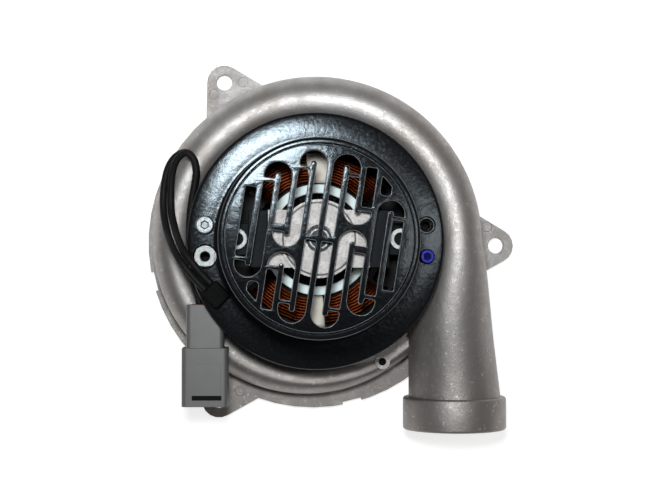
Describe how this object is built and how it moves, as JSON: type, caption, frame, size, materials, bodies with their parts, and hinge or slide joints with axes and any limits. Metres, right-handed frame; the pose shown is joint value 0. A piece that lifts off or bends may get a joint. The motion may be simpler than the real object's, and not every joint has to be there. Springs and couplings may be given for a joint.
{
  "type": "centrifugal blower",
  "caption": "Small DC centrifugal blower: cast volute with outlet horn and mounting ears, vented motor cover, impeller on a shaft in ball bearings, carbon brushes and a plug-ended lead pair.",
  "frame": {"origin": "middle of the footprint, without the leads and connector, on the mounting face", "axes": "+Z along the motor axis, away from the mounting face; the outlet points along -Y; the first mounting ear points along +X"},
  "size_m": [0.1642, 0.1617, 0.102],
  "materials": {
    "cast_aluminium": "as cast, satin",
    "bright_aluminium": "satin",
    "black_paint": "semi-gloss black",
    "black_gloss": "gloss black",
    "steel": "bright",
    "blue_zinc": "blue plated",
    "lamination": "dull",
    "copper": "enamelled copper",
    "pale_insulation": "matt",
    "cream_tape": "matt",
    "phenolic": "matt dark",
    "carbon": "matt",
    "rubber": "matt",
    "wire_black": "satin",
    "grey_plastic": "satin",
    "blue_grey_plastic": "satin",
    "orange_rubber": "matt"
  },
  "bodies": {
    "housing": {"back_plate": "cast_aluminium", "volute_housing": "cast_aluminium", "front_bracket": "cast_aluminium", "rear_bridge": "bright_aluminium", "motor_cover": "black_paint", "vent_grille": "black_gloss", "cover_screw_bright": "steel", "housing_screw_1": "steel", "housing_screw_2": "steel", "housing_screw_3": "steel", "housing_screw_4": "steel", "stator_bolt_left": "steel", "stator_bolt_right": "steel", "front_bearing_outer_ring": "steel", "rear_bearing_outer_ring": "steel", "brush_spring_left": "steel", "brush_spring_right": "steel", "connector_pin_left": "steel", "connector_pin_right": "steel", "cover_screw_blue": "blue_zinc", "stator_core": "lamination", "field_coil_upper": "copper", "field_coil_lower": "copper", "coil_former": "pale_insulation", "coil_strap_upper": "cream_tape", "coil_strap_lower": "cream_tape", "brush_holder_left": "phenolic", "brush_holder_right": "phenolic", "lead_boot": "rubber", "lead_wire_inner": "wire_black", "lead_wire_outer": "wire_black", "connector_body": "grey_plastic", "connector_wedge": "blue_grey_plastic", "connector_seal": "orange_rubber"},
    "rotor": {"shaft": "steel", "shaft_circlip": "steel", "impeller": "bright_aluminium", "impeller_shroud": "bright_aluminium", "impeller_nut": "steel", "impeller_washer": "steel", "impeller_spacer": "steel", "armature_core": "lamination", "armature_winding_front": "copper", "armature_winding_rear": "copper", "commutator": "copper", "cooling_fan": "phenolic", "front_bearing_inner_ring": "steel", "rear_bearing_inner_ring": "steel"},
    "front_ball_cage": {"front_bearing_ball_cage": "steel"},
    "rear_ball_cage": {"rear_bearing_ball_cage": "steel"},
    "brush_left": {"carbon_brush_left": "carbon"},
    "brush_right": {"carbon_brush_right": "carbon"}
  },
  "joints": [
    {"name": "rotor_spin", "type": "hinge", "parent": "housing", "child": "rotor", "pos_m": [-0.00807, 0.00109, 0], "axis": [0, 0, 1], "continuous": true},
    {"name": "front_cage_spin", "type": "hinge", "parent": "housing", "child": "front_ball_cage", "pos_m": [-0.00807, 0.00109, 0.026], "axis": [0, 0, 1], "continuous": true},
    {"name": "rear_cage_spin", "type": "hinge", "parent": "housing", "child": "rear_ball_cage", "pos_m": [-0.00807, 0.00109, 0.0905], "axis": [0, 0, 1], "continuous": true},
    {"name": "brush_left_slide", "type": "slide", "parent": "housing", "child": "brush_left", "axis": [-1, 0, 0], "range_m": [0, 0.003], "stiffness_N_per_m": 300, "springref_m": -0.004, "deforming": ["brush_spring_left"]},
    {"name": "brush_right_slide", "type": "slide", "parent": "housing", "child": "brush_right", "axis": [1, 0, 0], "range_m": [0, 0.003], "stiffness_N_per_m": 300, "springref_m": -0.004, "deforming": ["brush_spring_right"]}
  ],
  "couplings": [
    {"joint": "front_cage_spin", "follows": "rotor_spin", "ratio": 0.3846},
    {"joint": "rear_cage_spin", "follows": "rotor_spin", "ratio": 0.3846}
  ]
}
